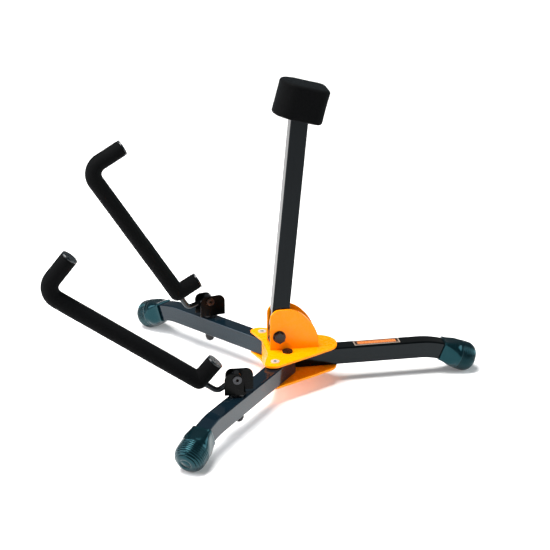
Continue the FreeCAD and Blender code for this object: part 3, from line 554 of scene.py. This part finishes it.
# one ring: (share of its pitch, depth below the swelling)
RING_ROWS = ((0.04, RING_DEPTH), (0.34, RING_DEPTH), (0.42, 0.1), (0.5, 0.0), (0.9, 0.0), (0.98, 0.1))
# end disc with a shallow groove: (place past the dome's end, step from the disc's radius)
DISC_ROWS = ((0.1, -0.5), (-0.5, -0.9), (-0.5, -1.6), (-0.1, -1.9))


def boot_swelling(place):
    """Half width of the toe without its rings."""
    if place <= DOME_START:
        return TOE_RADIUS
    share = (place - DOME_START) / (DOME_END - DOME_START)
    return DOME_DISC + (TOE_RADIUS - DOME_DISC) * math.sqrt(max(0.0, 1 - share**DOME_POWER))


def boot_profile():
    """Rows of (place along the boot, half width, squareness) from the mouth to the end disc."""
    rows = [(-BOOT_LENGTH + past, MOUTH_HALF + step, squareness) for past, step, squareness in MOUTH_ROWS]
    body_start = -BOOT_LENGTH + BODY_START
    for i in range(1, BODY_ROWS + 1):
        share = i / BODY_ROWS
        ease = share * share * (3 - 2 * share)
        half = MOUTH_HALF + (TOE_RADIUS - MOUTH_HALF) * (0.35 * share + 0.65 * ease)
        squareness = BODY_SQUARENESS * (1 - min(1, share * 1.15)) ** 1.3
        rows.append((body_start + (RING_START - body_start) * share, half, squareness))
    pitch = (DOME_END - RING_START) / RINGS
    for ring in range(RINGS):
        for share, depth in RING_ROWS:
            place = RING_START + (ring + share) * pitch
            rows.append((place, boot_swelling(place) - depth, 0))
    rows += [(DOME_END + past, DOME_DISC + step, 0) for past, step in DISC_ROWS]
    return rows


def boot(name, heading, root):
    """Rubber boot: square mouth, swelling body and a domed toe with stepped rings."""
    slope = math.radians(BOOT_SLOPE)
    out = Vector((math.cos(heading), math.sin(heading), 0))
    along = out * math.cos(slope) - UP * math.sin(slope)
    square = out * math.sin(slope) + UP * math.cos(slope)
    across = UP.cross(out)
    end = root + out * (REACH[name] * MM) + UP * (TOE_HEIGHT * MM)
    shape = bmesh.new()
    loops = []
    for place, half, squareness in boot_profile():
        sink = TOE_SINK * min(1.0, (place + BOOT_LENGTH) / (RING_START + BOOT_LENGTH))
        centre = end + along * (place * MM) - UP * (sink * MM)
        power = 2 + 7 * squareness  # 2 is a circle, higher is squarer
        loop = []
        for k in range(BOOT_SIDES):
            angle = 2 * math.pi * k / BOOT_SIDES
            cos_a, sin_a = math.cos(angle), math.sin(angle)
            radius = half / (abs(cos_a) ** power + abs(sin_a) ** power) ** (1 / power)
            point = centre + (across * cos_a + square * sin_a) * (radius * MM)
            point.z = max(point.z, 0.0)
            loop.append(shape.verts.new(point))
        loops.append(loop)
    for low, high in zip(loops, loops[1:]):
        join_loops(shape, low, high)
    shape.faces.new(loops[0][::-1])
    shape.faces.new(loops[-1])
    piece = mesh_object(f"{name}_boot_rubber", shape, "boot_rubber")
    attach(piece, "base" if name == "rear" else f"{name}_leg")
    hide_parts(f"{name}_boot")


# ---------------------------------------------------------------- back rest
# millimetres and degrees, as in the CAD pad
POST_LEAN = 5.45
PAD_TILT = 9.55
PAD_CENTRE = 239.6  # up the post from its pivot
PAD_LENGTH, PAD_WIDTH, PAD_HEIGHT = 47.0, 33.5, 33.5
PAD_CORNER = 8.0
PAD_RIM = 2.6
CROWN = 0.5
CROWN_CENTRE_Y = 4.0
CROWN_RINGS = 7
WAIST = 0.15
PAD_PROUD = 0.9  # soft foam stands this far out from the CAD block
SMALLEST_CORNER = 0.6
NOSE_STEPS = 28
SIDE_STEPS = 8
CORNER_STEPS = 6
RIM_ROWS = 6
WALL_ROWS = 14


def pad_outline(inset):
    """Plan of the foam block, drawn in by an inset: a half-round nose and a square back."""
    half = PAD_WIDTH / 2
    nose_y = -PAD_LENGTH / 2 + half
    right, rear = half - inset, PAD_LENGTH / 2 - inset
    corner = max(PAD_CORNER - inset, SMALLEST_CORNER)
    side = rear - corner - nose_y
    points = []

    def arc(x, y, radius, start, turn, steps, first):
        for i in range(first, steps + 1):
            angle = start + turn * i / steps
            points.append((x + radius * math.cos(angle), y + radius * math.sin(angle)))

    quarter = math.pi / 2
    arc(0, nose_y, right, math.pi, math.pi, NOSE_STEPS, 0)
    for i in range(1, SIDE_STEPS + 1):
        points.append((right, nose_y + side * i / SIDE_STEPS))
    arc(right - corner, rear - corner, corner, 0, quarter, CORNER_STEPS, 1)
    for i in range(1, SIDE_STEPS + 1):
        points.append((right - corner - 2 * (right - corner) * i / SIDE_STEPS, rear))
    arc(corner - right, rear - corner, corner, quarter, quarter, CORNER_STEPS, 1)
    for i in range(1, SIDE_STEPS):
        points.append((-right, rear - corner - side * i / SIDE_STEPS))
    return points


def back_rest():
    """Foam block on the end of the post, with soft rims, crowned faces and slightly hollow sides."""
    half = PAD_HEIGHT / 2 + PAD_PROUD - CROWN
    heights = [-half + PAD_RIM * (1 - math.cos(math.pi / 2 * i / RIM_ROWS)) for i in range(RIM_ROWS + 1)]
    heights += [-half + PAD_RIM + 2 * (half - PAD_RIM) * i / WALL_ROWS for i in range(1, WALL_ROWS)]
    heights += [-z for z in heights[RIM_ROWS::-1]]
    shape = bmesh.new()
    loops = []
    for z in heights:
        from_rim = half - abs(z)
        inset = PAD_RIM - math.sqrt(max(0.0, PAD_RIM**2 - (PAD_RIM - min(from_rim, PAD_RIM)) ** 2))
        waist = WAIST * (1 - (z / half) ** 2)
        plan = pad_outline(inset + waist - PAD_PROUD)
        loops.append([shape.verts.new((x * MM, y * MM, z * MM)) for x, y in plan])
    for direction, rim in ((1, loops[-1]), (-1, loops[0])):
        inner = rim
        for step in range(1, CROWN_RINGS):
            share = 1 - step / CROWN_RINGS
            height = direction * (half + CROWN * (1 - share**2))
            ring = []
            for vertex in rim:
                x = vertex.co.x * share
                y = CROWN_CENTRE_Y * MM + (vertex.co.y - CROWN_CENTRE_Y * MM) * share
                ring.append(shape.verts.new((x, y, height * MM)))
            join_loops(shape, inner, ring)
            inner = ring
        shape.faces.new(inner)
    for low, high in zip(loops, loops[1:]):
        join_loops(shape, low, high)
    piece = mesh_object("backrest_foam", shape, "foam_rubber")
    modify(piece, "SUBSURF", levels=1)
    smooth_shade(piece.data)
    moved = []
    for vertex in piece.data.vertices:
        point = vertex.co.copy()
        moved.append(point + vertex.normal * skin_height(point, PAD_SKIN))
    move_vertices(piece.data, moved)
    pivot = Vector(JOINTS["backrest_fold"]["pos_m"])
    lean = Matrix.Rotation(math.radians(-POST_LEAN), 4, "X")
    tilt = Matrix.Rotation(math.radians(-PAD_TILT), 4, "X")
    seat = Matrix.Translation(pivot) @ lean @ Matrix.Translation((0, 0, PAD_CENTRE * MM)) @ tilt
    piece.data.transform(seat)
    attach(piece, "backrest")
    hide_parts("backrest_pad")


# ---------------------------------------------------------------- stage and light
FLOOR_REACH = 8.0
NEAR_GLOW, FAR_GLOW = 0.12, 0.8
FAR_X, NEAR_X = -2.6, -0.9  # the floor brightens between these, behind the stand in the photograph


def add_floor():
    """Pale paper floor with a painted glow, brighter toward the background of the photograph's view."""
    mesh = bpy.data.meshes.new("floor")
    corners = [(x * FLOOR_REACH, y * FLOOR_REACH, 0) for x, y in ((-1, -1), (1, -1), (1, 1), (-1, 1))]
    mesh.from_pydata(corners, [], [(0, 1, 2, 3)])
    floor = bpy.data.objects.new("floor", mesh)
    bpy.context.scene.collection.objects.link(floor)
    shader = Shader("floor_paper")
    shader.set(Roughness=0.9, Specular_IOR_Level=0.05, Emission_Color=(1, 0.99, 0.98, 1))
    # painted glow: the floor emits light, more toward the back than near the stand
    shader.link(shader.level(shader.axis("X"), FAR_GLOW, NEAR_GLOW, FAR_X, NEAR_X), "Emission Strength")
    paper = shader.ramp(shader.noise(3, 3), [(0.3, (0.88, 0.875, 0.87)), (0.7, (0.9, 0.895, 0.89))])
    shader.link(paper, "Base Color")
    mesh.materials.append(shader.material)


def add_light(name, place, aim, size, watts, colour):
    """Softbox of a (width, height) at a place, turned to face its aim."""
    data = bpy.data.lights.new(name, "AREA")
    data.shape = "RECTANGLE"
    data.size, data.size_y = size
    data.energy = watts
    data.color = colour
    light = bpy.data.objects.new(name, data)
    bpy.context.scene.collection.objects.link(light)
    place = Vector(place)
    turn = (Vector(aim) - place).to_track_quat("-Z", "Y")
    light.matrix_world = Matrix.Translation(place) @ turn.to_matrix().to_4x4()


def add_world(colour, strength):
    """Even studio light from all around."""
    world = bpy.data.worlds.new("studio")
    world.use_nodes = True
    backdrop = world.node_tree.nodes["Background"]
    backdrop.inputs["Color"].default_value = (*colour, 1)
    backdrop.inputs["Strength"].default_value = strength
    bpy.context.scene.world = world


add_camera()
dress_cad_nodes()
for arm_side in SIDES:
    arm_foam(arm_side)
    fold = Vector(JOINTS[f"{arm_side}_leg_fold"]["pos_m"])
    swivel = Vector(JOINTS[f"{arm_side}_arm_swivel"]["pos_m"])
    boot(arm_side, math.atan2(swivel.y - fold.y, swivel.x - fold.x), Vector((fold.x, fold.y, 0)))
hub_y = JOINTS["backrest_fold"]["pos_m"][1] + PIVOT_AHEAD * MM
boot("rear", math.pi / 2, Vector((0, hub_y, 0)))
back_rest()

add_floor()
add_world((0.96, 0.95, 0.97), 0.13)
add_light("left_box", place=(0.2, -1.5, 0.75), aim=(0, 0, 0.1), size=(1.3, 1.1), watts=24,
          colour=(0.97, 0.96, 1.0))
add_light("right_box", place=(0.3, 1.5, 0.6), aim=(0, 0, 0.1), size=(1.2, 0.8), watts=12,
          colour=(0.8, 0.95, 1.0))
add_light("top_box", place=(0.05, -0.45, 1.9), aim=(-0.1, 0, 0), size=(1.0, 1.2), watts=84,
          colour=(1.0, 0.99, 0.98))
bpy.context.scene.view_settings.view_transform = "Standard"
